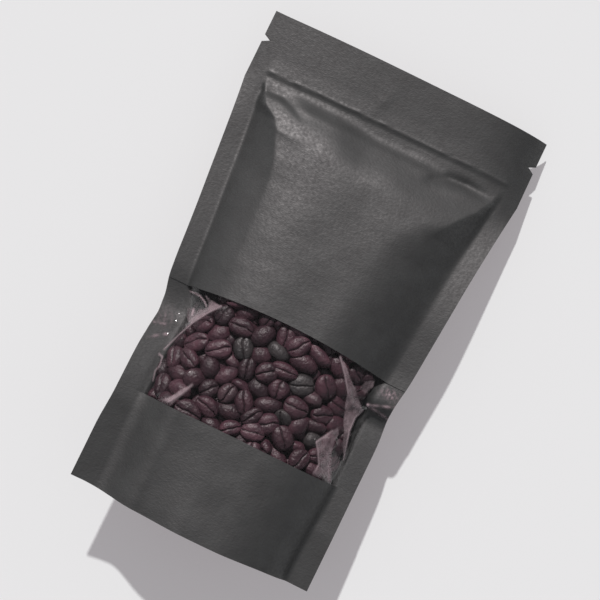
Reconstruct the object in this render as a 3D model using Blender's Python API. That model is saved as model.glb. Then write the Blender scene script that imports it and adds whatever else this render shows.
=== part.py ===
"""Stand-up coffee pouch lying on its back, filled and shut.

The front web is two strips of black paper on a clear film, which shows the beans in a band between
them. The back web, the side seals and the header are one sheet. A W-folded base gusset closes the
foot. X is across the pouch, +Y towards its top edge, +Z away from the table. Units are metres.

Every sheet is worked out from the flat pattern of the pouch. A point of the pattern is (across, drop):
across is measured from the centre line and drop down from the top edge, both along the flat sheet.
"""

import math
import random

import bmesh
import bpy

# Flat pattern
FLAT_WIDTH = 0.120
LENGTH = 0.200
SIDE_SEAL = 0.008
CORNER_SEAL = 0.006
CORNER_SEAL_DROP = 0.156
ZIP_DROP = 0.0226
FLANGE_DROP = 0.0285
WINDOW_TOP_DROP = 0.113
WINDOW_FOOT_DROP = 0.158

# The filled pouch is a little shorter than its pattern, because it isn't flat
FILLED_LENGTH = 0.1984

# How far the beans push the pouch open
FRONT_BULGE = 0.0240
BULGE_POWER = 2.6
DRAW_IN = 0.0089
FULL_DROP = 0.118
SEAL_HEIGHT = 0.0195
SEAL_RISE_START = 0.014
SEAL_RISE_REACH = 0.018
HEADER_CROWN = 0.0125
HEADER_CORNER_HEIGHT = 0.0026
FOOT_KICK = 0.0065
BACK_FLAT_DROP = 0.060
BACK_FLAT_SHARE = 0.50

# Where each side seal is buckled beside the window: inward nip, reach along the seal, rise and fall
BUCKLE_DROP = 0.123
BUCKLE_NIPS = {"left": (0.0028, 0.010), "right": (0.0013, 0.009)}
BUCKLE_RISES = {"left": -0.0030, "right": 0.0042}

# Sheets. Each front strip lies on the filled back by a small gap, and is thicker than real laminate.
SKIN = 0.0003
GAP = 0.0003
BACK_PLY = 0.0005
RIM = 0.0010

# Details
ZIP_RIDGE = 0.0007
ZIP_HALF_WIDTH = 0.0012
NOTCH_DROP = 0.0118
NOTCH_DEPTH = 0.0028
NOTCH_HALF_HEIGHT = 0.0015
HEM = 0.005
GUSSET_FOLD = 0.012
FOLD_RISE = 0.0026
FOLD_REACH = 0.0042
FILM_FOLDS = (
    ((-0.028, 0.116), (-0.042, 0.141)),
    ((0.027, 0.115), (0.036, 0.136)),
    ((0.034, 0.136), (0.038, 0.155)),
)
BEAN_LENGTH = 0.0100
BEAN_WIDTH = 0.0080
BEAN_RELIEF = 0.0024
HEAP_DEPTH = 0.016

# Colours, as linear red, green and blue
BLACK_PAPER = (0.055, 0.055, 0.056)
CLEAR_FILM = (0.62, 0.58, 0.60)
ROASTED_BEAN = (0.070, 0.036, 0.042)

HALF_WIDTH = FLAT_WIDTH / 2
HALF_INNER = HALF_WIDTH - SIDE_SEAL


def clamped(value):
    return min(max(value, 0.0), 1.0)


def eased(value):
    """0 to 1 with no slope at either end."""
    share = clamped(value)
    return share * share * (3 - 2 * share)


def bump(offset, reach):
    """1 at an offset of 0, and fading to 0 either side of it."""
    return math.exp(-((offset / reach) ** 2))


# ---- The form of the filled pouch ----


def inner_half(drop):
    """Half the width between the side seals, which are wider at the foot where the gusset's corners are
    sealed in too."""
    return HALF_INNER - CORNER_SEAL * eased((drop - CORNER_SEAL_DROP) / 0.036)


def inner_share(across, drop):
    """Where a point lies between the centre line, 0, and a side seal, 1 and over."""
    return abs(across) / inner_half(drop)


def fill(drop):
    """How far the pouch is open at this drop, from 0 at the zip's flange to 1 where it is full."""
    share = clamped((drop - FLANGE_DROP) / (FULL_DROP - FLANGE_DROP))
    return math.sqrt(1 - (1 - share) ** 1.45)


def bulge(drop):
    """The height of the front's middle over the side seals."""
    opening = 1 - math.exp(-max(drop - FLANGE_DROP, 0) / 0.007)
    return FRONT_BULGE * fill(drop) * opening - FOOT_KICK * foot_share(drop)


def foot_share(drop):
    return eased((drop - CORNER_SEAL_DROP) / (LENGTH - CORNER_SEAL_DROP))


def buckle_share(drop):
    """How far the seal has bent out towards its buckle: it climbs slowly and drops back at once."""
    return eased((drop - BUCKLE_DROP + 0.018) / 0.018) * (1 - eased((drop - BUCKLE_DROP) / 0.005))


def side_of(across):
    return "left" if across < 0 else "right"


def across_at(across, drop):
    """The X of a pattern point: a sheet of fixed width draws in as it bulges."""
    share = clamped(inner_share(across, drop))
    nip, reach = BUCKLE_NIPS[side_of(across)]
    nipped = nip * bump(drop - BUCKLE_DROP, reach) * share**6
    inner = (inner_half(drop) - DRAW_IN * fill(drop) ** 2) * share
    seal = max(abs(across) - inner_half(drop), 0.0)
    return math.copysign(inner + seal - nipped, across)


def along_at(across, drop):
    """The Y of a pattern point: the middle of the sheet climbs over the bulge, so it reaches less far."""
    rise = eased((drop - FLANGE_DROP) / (WINDOW_TOP_DROP - FLANGE_DROP))
    fall = eased((drop - WINDOW_TOP_DROP) / (WINDOW_FOOT_DROP - WINDOW_TOP_DROP))
    lift = 0.0036 * rise * (1 - 0.75 * fall) * (1 - eased((drop - WINDOW_FOOT_DROP) / 0.042))
    level = FILLED_LENGTH * (0.5 - drop / LENGTH)
    return level + lift * (1 - clamped(inner_share(across, drop)) ** 2)


def seal_height(across, drop):
    """The height of the sheets where they meet. The header is curled down at both top corners, the
    right one more, and the side seals climb from it to half the height of the filled pouch."""
    lean = across / HALF_WIDTH
    corner = HEADER_CORNER_HEIGHT * (1 - 0.5 * lean)
    climb = 1 - math.exp(-((max(drop - SEAL_RISE_START, 0) / SEAL_RISE_REACH) ** 1.3))
    side = corner + (SEAL_HEIGHT - corner) * climb
    crown = max(HEADER_CROWN - side, 0) * (1 - lean**2)
    kick = FOOT_KICK * (1 - 0.25 * lean) * foot_share(drop)
    buckle = BUCKLE_RISES[side_of(across)] * buckle_share(drop)
    return side + crown + kick + buckle * clamped(inner_share(across, drop)) ** 8


def corner_tuck(across, drop, belly):
    """The fold that runs in from each end of the zip, where the flat header meets the bulge: a valley,
    no deeper than the bulge leaves room for, and a ridge below it."""
    run = HALF_INNER - abs(across)
    shape = eased(run / 0.006) * (1 - eased((run - 0.010) / 0.018))
    valley = min(0.0024, 0.7 * belly) * bump(drop - FLANGE_DROP - 0.0030, 0.0026)
    ridge = 0.0014 * bump(drop - FLANGE_DROP - 0.0055 - 0.20 * run, 0.0034)
    return shape * (ridge - valley)


def front_height(across, drop):
    """The Z of the front's outer face."""
    share = clamped(inner_share(across, drop))
    belly = bulge(drop) * (1 - share**BULGE_POWER)
    zip_line = ZIP_RIDGE * bump(drop - ZIP_DROP, ZIP_HALF_WIDTH) * (1 - eased((share - 0.97) / 0.03))
    laminate = BACK_PLY + GAP + SKIN
    tuck = corner_tuck(across, drop, belly)
    return seal_height(across, drop) + laminate + belly + zip_line + tuck


def back_height(across, drop):
    """The Z of the back's outer face, flat on the table where the beans weigh it down."""
    flat_along = eased((drop - FLANGE_DROP) / (BACK_FLAT_DROP - FLANGE_DROP))
    flat_across = 1 - eased((inner_share(across, drop) - BACK_FLAT_SHARE) / (1 - BACK_FLAT_SHARE))
    return seal_height(across, drop) * (1 - flat_along * flat_across)


def from_line(across, drop, start, end):
    """How far a pattern point is from a straight line between two others."""
    run_across, run_drop = end[0] - start[0], end[1] - start[1]
    length = math.hypot(run_across, run_drop)
    gone = (across - start[0]) * run_across + (drop - start[1]) * run_drop
    share = clamped(gone / length**2)
    return math.hypot(across - start[0] - share * run_across, drop - start[1] - share * run_drop)


def film_fold(across, drop):
    """How far the film stands up off the beans in the two slack folds that run down its sides."""
    rise = 0
    for start, end in FILM_FOLDS:
        rise = max(rise, FOLD_RISE * bump(from_line(across, drop, start, end), FOLD_REACH))
    from_paper = min(drop - WINDOW_TOP_DROP, WINDOW_FOOT_DROP - drop)
    from_seal = HALF_INNER - 0.003 - abs(across)
    return rise * eased(from_paper / 0.005) * eased(from_seal / 0.006)


def front_point(across, drop):
    return across_at(across, drop), along_at(across, drop), front_height(across, drop)


def film_point(across, drop):
    x, y, z = front_point(across, drop)
    return x, y, z + film_fold(across, drop)


def below(surface, depth):
    """The same surface, lower by depth."""

    def lowered(across, drop):
        x, y, z = surface(across, drop)
        return x, y, z - depth

    return lowered


def back_point(across, drop):
    return across_at(across, drop), along_at(across, drop), back_height(across, drop)


# ---- Making solids from sheets ----


def evenly(start, end, count):
    """The ends of count equal steps from start to end."""
    return [start + (end - start) * i / count for i in range(count + 1)]


def new_object(name, mesh_data, colour, roughness, alpha=1.0):
    material = bpy.data.materials.new(name + "_material")
    material.use_nodes = True
    shader = material.node_tree.nodes["Principled BSDF"]
    shader.inputs["Base Color"].default_value = (*colour, 1)
    shader.inputs["Roughness"].default_value = roughness
    shader.inputs["Metallic"].default_value = 0
    shader.inputs["Alpha"].default_value = alpha
    mesh_data.materials.append(material)
    made = bpy.data.objects.new(name, mesh_data)
    pouch.objects.link(made)
    return made


def slab(columns, rows, upper, lower):
    """A solid between two surfaces over one piece of the pattern, as a mesh. Its quads are all split
    the same way, so that slabs on the same lines nest without touching."""
    made = bmesh.new()
    across_of = made.verts.layers.float.new("across")
    drop_of = made.verts.layers.float.new("drop")
    wide, tall = len(columns) - 1, len(rows) - 1
    bmesh.ops.create_grid(made, x_segments=wide, y_segments=tall, size=1)
    for vert in made.verts:
        vert[across_of] = columns[round((vert.co.x + 1) / 2 * wide)]
        vert[drop_of] = rows[round((1 - vert.co.y) / 2 * tall)]
    bmesh.ops.triangulate(made, faces=made.faces[:], quad_method="FIXED")
    top = made.verts[:]
    under = bmesh.ops.extrude_face_region(made, geom=made.faces[:])["geom"]
    for vert in (item for item in under if isinstance(item, bmesh.types.BMVert)):
        vert.co = lower(vert[across_of], vert[drop_of])
    for vert in top:
        vert.co = upper(vert[across_of], vert[drop_of])
    bmesh.ops.recalc_face_normals(made, faces=made.faces[:])
    if made.calc_volume(signed=True) < 0:
        bmesh.ops.reverse_faces(made, faces=made.faces[:])
    mesh_data = bpy.data.meshes.new("slab")
    made.to_mesh(mesh_data)
    made.free()
    return mesh_data


def cutter(name, mesh_data):
    made = bpy.data.objects.new(name, mesh_data)
    made.hide_render = True
    made.display_type = "WIRE"
    cutters.objects.link(made)
    return made


def cut(target, tool):
    modifier = target.modifiers.new("cut_" + tool.name, "BOOLEAN")
    modifier.operation = "DIFFERENCE"
    modifier.object = tool


for old in list(bpy.data.objects):
    bpy.data.objects.remove(old)
pouch = bpy.data.collections.new("coffee_pouch")
cutters = bpy.data.collections.new("cutters")
bpy.context.scene.collection.children.link(pouch)
bpy.context.scene.collection.children.link(cutters)

COLUMNS = (
    [-HALF_WIDTH]
    + evenly(-HALF_INNER, -0.030, 5)
    + evenly(-0.030, 0.030, 10)[1:]
    + evenly(0.030, HALF_INNER, 5)[1:]
    + [HALF_WIDTH]
)
HEADER_ROWS = [
    0.0,
    NOTCH_DROP,
    ZIP_DROP - 1.5 * ZIP_HALF_WIDTH,
    ZIP_DROP,
    ZIP_DROP + 1.5 * ZIP_HALF_WIDTH,
    FLANGE_DROP,
]
SHOULDER_ROWS = evenly(FLANGE_DROP, 0.046, 6)[1:]
CHEST_ROWS = evenly(0.046, WINDOW_TOP_DROP, 9)[1:]
WINDOW_ROWS = evenly(WINDOW_TOP_DROP, WINDOW_FOOT_DROP, 9)
FOOT_ROWS = evenly(WINDOW_FOOT_DROP, LENGTH, 7)
UPPER_ROWS = HEADER_ROWS + SHOULDER_ROWS + CHEST_ROWS
ALL_ROWS = UPPER_ROWS + WINDOW_ROWS[1:] + FOOT_ROWS[1:]


# ---- Back web, side seals and header, solid within because it can't be seen into ----

body_top = below(front_point, SKIN + GAP)
back_panel = new_object(
    "back_panel", slab(COLUMNS, ALL_ROWS, body_top, back_point), BLACK_PAPER, 0.6
)


# ---- Front paper strips and the clear film between them ----


front_underside = below(front_point, SKIN)
upper_sheet = slab(COLUMNS, UPPER_ROWS, front_point, front_underside)
lower_sheet = slab(COLUMNS, FOOT_ROWS, front_point, front_underside)
front_upper = new_object("front_upper", upper_sheet, BLACK_PAPER, 0.6)
front_lower = new_object("front_lower", lower_sheet, BLACK_PAPER, 0.6)

film_rows = [WINDOW_TOP_DROP + GAP, *WINDOW_ROWS[1:-1], WINDOW_FOOT_DROP - GAP]
film_sheet = slab(COLUMNS, film_rows, film_point, below(film_point, SKIN))
window_film = new_object("window_film", film_sheet, CLEAR_FILM, 0.1, 0.3)


# ---- The pocket behind the window, and the heap of beans in it ----

POCKET_HALF = 0.0495


def pocket_floor(across, drop):
    """Under the beans, and well clear of the back."""
    x, y, top = body_top(across, drop)
    back = back_height(across, drop) + BACK_PLY
    return x, y, max(top - HEAP_DEPTH, back + 0.3 * (top - back))


def bean_centres():
    """Where the bumps of the heap's top are, in X and Y: staggered rows with some unevenness."""
    uneven = random.Random(11)
    centres = []
    for row in range(-4, 5):
        for column in range(-6, 7):
            x = (column + 0.5 * (row % 2)) * 0.0088 + uneven.uniform(-0.0012, 0.0012)
            y = row * 0.0072 + uneven.uniform(-0.0010, 0.0010)
            turn = uneven.uniform(0, math.pi)
            sink = uneven.uniform(0, 0.3)
            centres.append((x, y, turn, sink))
    return centres


BEANS = bean_centres()
WINDOW_MIDDLE = FILLED_LENGTH / 2 - (WINDOW_TOP_DROP + WINDOW_FOOT_DROP) / 2


def bean_dip(x, y):
    """How far the heap lies under the film at a point, in shares of BEAN_RELIEF."""
    dips = []
    for centre_x, centre_y, turn, sink in BEANS:
        dx, dy = x - centre_x, y - WINDOW_MIDDLE - centre_y
        lengthwise = (dx * math.cos(turn) + dy * math.sin(turn)) / (BEAN_LENGTH / 2)
        sideways = (dy * math.cos(turn) - dx * math.sin(turn)) / (BEAN_WIDTH / 2)
        dips.append(sink + lengthwise**2 + sideways**2)
    return min(min(dips), 1.3)


def heap_top(across, drop):
    x, y, top = body_top(across, drop)
    floor = pocket_floor(across, drop)[2] + GAP
    return x, y, max(top - BEAN_RELIEF * bean_dip(x, y), floor + 0.0004)


def heap_floor(across, drop):
    x, y, floor = pocket_floor(across, drop)
    return x, y, floor + GAP


def over_the_front(across, drop):
    x, y, top = front_point(across, drop)
    return x, y, top + 0.005


pocket_columns = evenly(-POCKET_HALF, POCKET_HALF, 34)
pocket_rows = evenly(WINDOW_TOP_DROP, WINDOW_FOOT_DROP, 16)
cut(
    back_panel,
    cutter("pocket", slab(pocket_columns, pocket_rows, over_the_front, pocket_floor)),
)
heap_columns = evenly(-POCKET_HALF + GAP, POCKET_HALF - GAP, 34)
heap_rows = evenly(WINDOW_TOP_DROP + GAP, WINDOW_FOOT_DROP - GAP, 16)
beans = new_object(
    "beans", slab(heap_columns, heap_rows, heap_top, heap_floor), ROASTED_BEAN, 0.5
)


# ---- Base gusset: a folded web between the front's and the back's foot, inside their hems ----

GUSSET_REACH = 0.88


def gusset_depth(across_share, up_share):
    """How far the base lies inside the foot edge: hem, wider at the corners, and a fold along the middle."""
    fold = 1 - abs(2 * up_share - 1)
    return HEM + GUSSET_FOLD * fold * (1 - 0.5 * across_share**2) + 0.010 * across_share**4


def gusset_point(inset, extra):
    """The base's surface, as a function of shares across and up the foot."""

    def point(across, up_share):
        share = abs(across) / inner_half(LENGTH)
        depth = gusset_depth(share, up_share) + extra
        drop = LENGTH - depth
        wall = inset * (1 + 1.5 * share**2)
        low = back_height(across, drop) + wall
        high = body_top(across, drop)[2] - wall
        return across_at(across, drop), -FILLED_LENGTH / 2 + depth, low + (high - low) * up_share

    return point


def below_the_foot(across, up_share):
    x, y, z = gusset_point(RIM, 0)(across, up_share)
    return x, -FILLED_LENGTH / 2 - 0.004, z


gusset_half = GUSSET_REACH * inner_half(LENGTH)
gusset_columns = evenly(-gusset_half, gusset_half, 14)
gusset_rises = evenly(1, 0, 6)
recess = slab(gusset_columns, gusset_rises, gusset_point(RIM, SKIN + GAP), below_the_foot)
cut(back_panel, cutter("recess", recess))
sheet_columns = evenly(
    -gusset_half + 2 * GAP, gusset_half - 2 * GAP, 14
)
gusset_sheet = slab(
    sheet_columns, gusset_rises, gusset_point(RIM + GAP, SKIN), gusset_point(RIM + GAP, 0)
)
base_gusset = new_object("base_gusset", gusset_sheet, BLACK_PAPER, 0.6)


# ---- Tear notches, one in each side of the header ----


def notch_outline(side):
    """A wedge that points inwards from the side edge, as a mesh tall enough to pass the header."""
    made = bmesh.new()
    bmesh.ops.create_cone(
        made,
        cap_ends=True,
        segments=4,
        radius1=1,
        radius2=1,
        depth=0.04,
    )
    for vert in made.verts:
        vert.co.x = side * HALF_WIDTH + vert.co.x * NOTCH_DEPTH
        vert.co.y = FILLED_LENGTH / 2 - NOTCH_DROP + vert.co.y * NOTCH_HALF_HEIGHT
    mesh_data = bpy.data.meshes.new("notch")
    made.to_mesh(mesh_data)
    made.free()
    return mesh_data


for side_name, side in (("left", -1), ("right", 1)):
    notch = cutter("notch_" + side_name, notch_outline(side))
    cut(back_panel, notch)
    cut(front_upper, notch)
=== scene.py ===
"""A stand-up coffee pouch of black paper laminate, filled, shut and lying on its back."""

import math

import bmesh
import bpy
import numpy as np
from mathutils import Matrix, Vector


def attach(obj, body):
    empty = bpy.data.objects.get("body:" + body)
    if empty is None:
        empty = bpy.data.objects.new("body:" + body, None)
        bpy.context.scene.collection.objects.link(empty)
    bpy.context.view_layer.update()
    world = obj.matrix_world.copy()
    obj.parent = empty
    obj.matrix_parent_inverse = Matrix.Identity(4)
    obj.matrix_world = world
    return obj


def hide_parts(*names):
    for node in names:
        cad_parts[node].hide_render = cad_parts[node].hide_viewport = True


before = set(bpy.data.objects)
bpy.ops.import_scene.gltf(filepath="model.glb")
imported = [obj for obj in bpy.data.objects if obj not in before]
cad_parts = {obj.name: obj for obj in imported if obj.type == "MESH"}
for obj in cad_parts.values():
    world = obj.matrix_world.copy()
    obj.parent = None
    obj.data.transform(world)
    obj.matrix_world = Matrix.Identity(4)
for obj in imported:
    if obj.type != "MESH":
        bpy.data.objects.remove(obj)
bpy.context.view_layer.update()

# ---- Back web ----
# The back of the pouch is one sheet of laminate, black kraft paper on a thin film. It lies flat on the
# table under the beans and rises at its edges to the side welds, where it carries the front web. A
# tear notch is punched through both webs at each end of the header.

# Sizes are millimetres of the web laid flat, before the beans draw its sides in. Places on it are
# across, from its centre line, and drop, down from its top edge.
WEB_HALF = 60.0
WEB_LENGTH = 200.0
PLY = 0.17
BLACK_KRAFT = (0.019, 0.021, 0.0205)


def eased(value):
    """From 0 to 1, level at both ends."""
    share = np.clip(value, 0, 1)
    return share * share * (3 - 2 * share)


def bump(offset, reach):
    """1 at no offset, falling off softly on both sides."""
    return np.exp(-((offset / reach) ** 2))


SIDE_WELD = 8.0
GUSSET_WELD = 1.5
GUSSET_DROP = 156.0


def free_half(drop):
    """Half the width of web that isn't welded. The welds widen at the foot to take the gusset's corners."""
    return WEB_HALF - SIDE_WELD - GUSSET_WELD * eased((drop - GUSSET_DROP) / 36)


def free_share(across, drop):
    """How far out towards the weld a place is: 0 in the middle, 1 at the weld."""
    return np.clip(np.abs(across) / free_half(drop), 0, 1)


FLANGE_DROP = 28.5
FILLING_RUN = 89.5
DRAW_IN = 8.9
BUCKLE_DROP = 123.0
LEFT_NIP = 2.8
RIGHT_NIP = 1.3


def filled_share(drop):
    """How full the pouch is, from 0 at the flange below the zip to 1 over the window."""
    share = np.clip((drop - FLANGE_DROP) / FILLING_RUN, 0, 1)
    return np.sqrt(1 - (1 - share) ** 1.45)


def side_x(across, drop):
    """X of a place on the web. Filling draws the sides in, and most of all at the buckles that nip both
    welds beside the window."""
    left = across < 0
    nip = np.where(left, LEFT_NIP, RIGHT_NIP) * bump(drop - BUCKLE_DROP, np.where(left, 10.0, 9.0))
    share = free_share(across, drop)
    inner = (free_half(drop) - DRAW_IN * filled_share(drop) ** 2) * share
    weld = np.maximum(np.abs(across) - free_half(drop), 0)
    # The left side is tucked in a little more at the header and at the foot, and the right a little less.
    header_tuck = 0.9 * (1 - eased((drop - 24) / 50)) + 0.5 * (1 - eased((drop - 106) / 10))
    foot_tuck = 1.2 * eased((drop - 124) / 14)
    foot_tuck = foot_tuck + 0.8 * eased((drop - 122) / 6) * (1 - eased((drop - 160) / 18))
    drawn = np.where(left, header_tuck + foot_tuck, -0.35 - 0.7 * bump(drop - 98, 32))
    return np.sign(across) * (inner + weld - (nip + drawn) * share**6)


FILLED_LENGTH = 198.4
WINDOW_TOP = 113.0
WINDOW_FOOT = 158.0
BELLY_LIFT = 3.6


def lift(drop):
    """How far the middle of the web is drawn up towards the header by the belly's swell."""
    rise = eased((drop - FLANGE_DROP) / (WINDOW_TOP - FLANGE_DROP))
    fall = eased((drop - WINDOW_TOP) / (WINDOW_FOOT - WINDOW_TOP))
    return BELLY_LIFT * rise * (1 - 0.75 * fall) * (1 - eased((drop - WINDOW_FOOT) / 42))


def along_y(across, drop):
    """Y of a place on the web, with the foot and the top edge bowed as they lie."""
    level = FILLED_LENGTH * (0.5 - drop / WEB_LENGTH)
    corner = np.clip(-across / 54, 0, 1) ** 2.5
    foot = 0.45 + 1.5 * corner + 0.6 * bump(across - 36, 14)
    level = level + foot * eased((drop - 150) / 50) + (0.25 - 0.45 * corner) * (1 - eased(drop / 40))
    return level + lift(drop) * (1 - free_share(across, drop) ** 2)


WELD_HEIGHT = 22.0
LEFT_CORNER = 14.0
LEFT_KICK = 10.0
RIGHT_CORNER = 5.0
RIGHT_HEIGHT = 25.3
RIGHT_KICK = 6.5
BUCKLE_STEP = 5.2
LEFT_BUCKLE = -1.2
RIGHT_BUCKLE = 1.3
HEADER_CROWN = 17.5


def weld_z(across, drop):
    """Height at which the two webs meet. The header is crowned, and curled down to its right corner. The
    right weld climbs at once and steps down at its buckle. The left one climbs more slowly, and again
    towards the foot, where its corner kicks up."""
    lean = across / WEB_HALF
    left = LEFT_CORNER + (WELD_HEIGHT - LEFT_CORNER) * eased((drop - 20) / 95)
    left = left + LEFT_KICK * eased((drop - 114) / 52)
    right = RIGHT_CORNER + (RIGHT_HEIGHT - RIGHT_CORNER) * eased((drop + 12) / 100)
    right = right - BUCKLE_STEP * eased((drop - BUCKLE_DROP + 3) / 11)
    right = right + RIGHT_KICK * np.clip((drop - BUCKLE_DROP - 4) / 50, 0, 1) ** 0.7
    side = left * (1 - lean) / 2 + right * (1 + lean) / 2
    spare = HEADER_CROWN - side
    hunch = 1 - np.abs(lean) ** np.where(lean < 0, 2.4, 5.0)
    crown = (spare + np.sqrt(spare**2 + 6)) / 2 * hunch * (1 - eased((drop - 26) / 26))
    foot_flare = eased((drop - 118) / 40)
    flare = 0.10 * np.maximum(-across - 44, 0) * foot_flare
    flare = flare + 0.11 * np.maximum(-across - 50, 0) * eased((drop - 25) / 25) * (1 - foot_flare)
    bent = eased((drop - BUCKLE_DROP + 18) / 18) * (1 - eased((drop - BUCKLE_DROP) / 5))
    buckle = np.where(across < 0, LEFT_BUCKLE, RIGHT_BUCKLE) * bent * free_share(across, drop) ** 8
    return side + crown + flare + buckle


HEADER_OPENING = 3.2
LEFT_LEDGE = 0.11
RIGHT_LEDGE = 0.02
DOWN_TO_TABLE = 31.5


def back_z(across, drop):
    """Height of the back: flat on the table in the middle, and up to the welds at either side, where it
    runs out level in a narrow ledge from the window down."""
    ledge = np.where(across < 0, LEFT_LEDGE, RIGHT_LEDGE) * eased((drop - WINDOW_TOP + 1) / 8)
    share = np.clip(free_share(across, drop) * (1 + ledge), 0, 1)
    flat_along = eased((drop - FLANGE_DROP) / DOWN_TO_TABLE)
    flat_across = 1 - eased((share - 0.5) / 0.5)
    opened = HEADER_OPENING * eased((drop - FLANGE_DROP + 1) / 3) * (1 - share**10)
    return (weld_z(across, drop) - opened) * (1 - flat_along * flat_across)


def filled(across, drop, height):
    """Points of the filled pouch, for places on the flat web."""
    return np.stack([side_x(across, drop), along_y(across, drop), height], -1)


def mesh_piece(name, corners, faces):
    """A smooth mesh through points given in millimetres, riding on the pouch."""
    mesh = bpy.data.meshes.new(name)
    mesh.from_pydata((np.asarray(corners) / 1000).tolist(), [], np.asarray(faces).tolist())
    mesh.shade_smooth()
    piece = bpy.data.objects.new(name, mesh)
    bpy.context.scene.collection.objects.link(piece)
    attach(piece, "root")
    return piece


def sheet(name, points, ply):
    """A sheet whose upper face runs through rows and columns of points, with a crisp cut edge."""
    rows, columns, _ = points.shape
    number = np.arange(rows * columns).reshape(rows, columns)
    quads = np.stack([number[:-1, :-1], number[1:, :-1], number[1:, 1:], number[:-1, 1:]], -1)
    piece = mesh_piece(name, points.reshape(-1, 3), quads.reshape(-1, 4))
    edges = bmesh.new()
    edges.from_mesh(piece.data)
    for edge in edges.edges:
        edge.smooth = not edge.is_boundary
    edges.to_mesh(piece.data)
    edges.free()
    solid = piece.modifiers.new("ply", "SOLIDIFY")
    solid.thickness = ply / 1000
    solid.offset = -1
    return piece


def steps(start, stop, step):
    """Even places from start to stop, about a step apart."""
    return np.linspace(start, stop, int(round((stop - start) / step)) + 1)


NOTCH_DROP = 11.8
NOTCH_DEPTH = 2.8
NOTCH_HALF_HEIGHT = 1.5
NOTCH_MARGIN = 6


def notched(across, drop):
    """The pattern with its tear notches: the outer few millimetres are drawn in to a point."""
    depth = NOTCH_DEPTH * np.clip(1 - np.abs(drop - NOTCH_DROP) / NOTCH_HALF_HEIGHT, 0, 1)
    outer = np.clip((np.abs(across) - (WEB_HALF - NOTCH_MARGIN)) / NOTCH_MARGIN, 0, 1)
    return across - np.sign(across) * outer * depth


ZIP_DROP = 22.6


def header_rows(step):
    """Drops down to the zip's flange, closer together at the notches and at the zip."""
    notch = steps(NOTCH_DROP - NOTCH_HALF_HEIGHT, NOTCH_DROP + NOTCH_HALF_HEIGHT, 0.25)
    zip_top, zip_foot = ZIP_DROP - 1.6, ZIP_DROP + 2.4
    to_zip = steps(notch[-1], zip_top, step)[1:-1]
    at_zip = steps(zip_top, zip_foot, step / 2)
    to_flange = steps(zip_foot, FLANGE_DROP, step)[1:]
    return np.concatenate([steps(0, notch[0], step)[:-1], notch, to_zip, at_zip, to_flange])


def ripple(x, y, wavelength, seed):
    """Soft aimless unevenness between about -1 and 1, from crossing waves."""
    uneven = np.random.default_rng(seed)
    total = 0 * x
    for turn, length, shift in uneven.uniform((0, 0.7, 0), (2 * np.pi, 1.6, 2 * np.pi), (9, 3)):
        run = x * np.cos(turn) + y * np.sin(turn)
        total = total + np.sin(2 * np.pi * run / (wavelength * length) + shift)
    return total / 3.5


def node(tree, kind, **settings):
    """A new shader node."""
    made = tree.nodes.new("ShaderNode" + kind)
    for name, value in settings.items():
        setattr(made, name, value)
    return made


def noise(tree, place, scale, stretch=(1, 1, 1), turn=0.0, detail=2.0):
    """Noise in millimetres: scale is its cells per millimetre, and stretch draws it out into fibres."""
    mapping = node(tree, "Mapping")
    mapping.inputs["Rotation"].default_value = (0, 0, turn)
    mapping.inputs["Scale"].default_value = [1000 * scale * share for share in stretch]
    made = node(tree, "TexNoise")
    made.inputs["Scale"].default_value = 1
    made.inputs["Detail"].default_value = detail
    tree.links.new(place, mapping.inputs["Vector"])
    tree.links.new(mapping.outputs["Vector"], made.inputs["Vector"])
    return made.outputs["Fac"]


def added(tree, first, second, factor=1.0):
    """The first value plus factor times the second."""
    scaled = node(tree, "Math", operation="MULTIPLY")
    tree.links.new(second, scaled.inputs[0])
    scaled.inputs[1].default_value = factor
    made = node(tree, "Math", operation="ADD")
    tree.links.new(first, made.inputs[0])
    tree.links.new(scaled.outputs[0], made.inputs[1])
    return made.outputs[0]


def ramp(tree, value, stops):
    """Colours along a 0 to 1 value."""
    made = node(tree, "ValToRGB")
    for index, (place, colour) in enumerate(stops):
        points = made.color_ramp.elements
        point = points[index] if index < 2 else points.new(place)
        point.position = place
        point.color = (*colour, 1)
    tree.links.new(value, made.inputs["Fac"])
    return made.outputs["Color"]


def spread(tree, value, low, high):
    """The middle of a noise, stretched out between two values."""
    made = node(tree, "MapRange")
    made.inputs["From Min"].default_value = 0.3
    made.inputs["From Max"].default_value = 0.7
    made.inputs["To Min"].default_value = low
    made.inputs["To Max"].default_value = high
    tree.links.new(value, made.inputs["Value"])
    return made.outputs["Result"]


def new_material(name):
    """A material with its node tree, its shader and the place of each point in metres."""
    material = bpy.data.materials.new(name)
    material.use_nodes = True
    tree = material.node_tree
    return material, tree, tree.nodes["Principled BSDF"], node(tree, "TexCoord").outputs["Object"]


def fine_relief(tree, shader, height, strength, depth):
    """Unevenness too fine to model, up to a depth in millimetres."""
    relief = node(tree, "Bump")
    relief.inputs["Strength"].default_value = strength
    relief.inputs["Distance"].default_value = depth / 1000
    tree.links.new(height, relief.inputs["Height"])
    tree.links.new(relief.outputs["Normal"], shader.inputs["Normal"])


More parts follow.
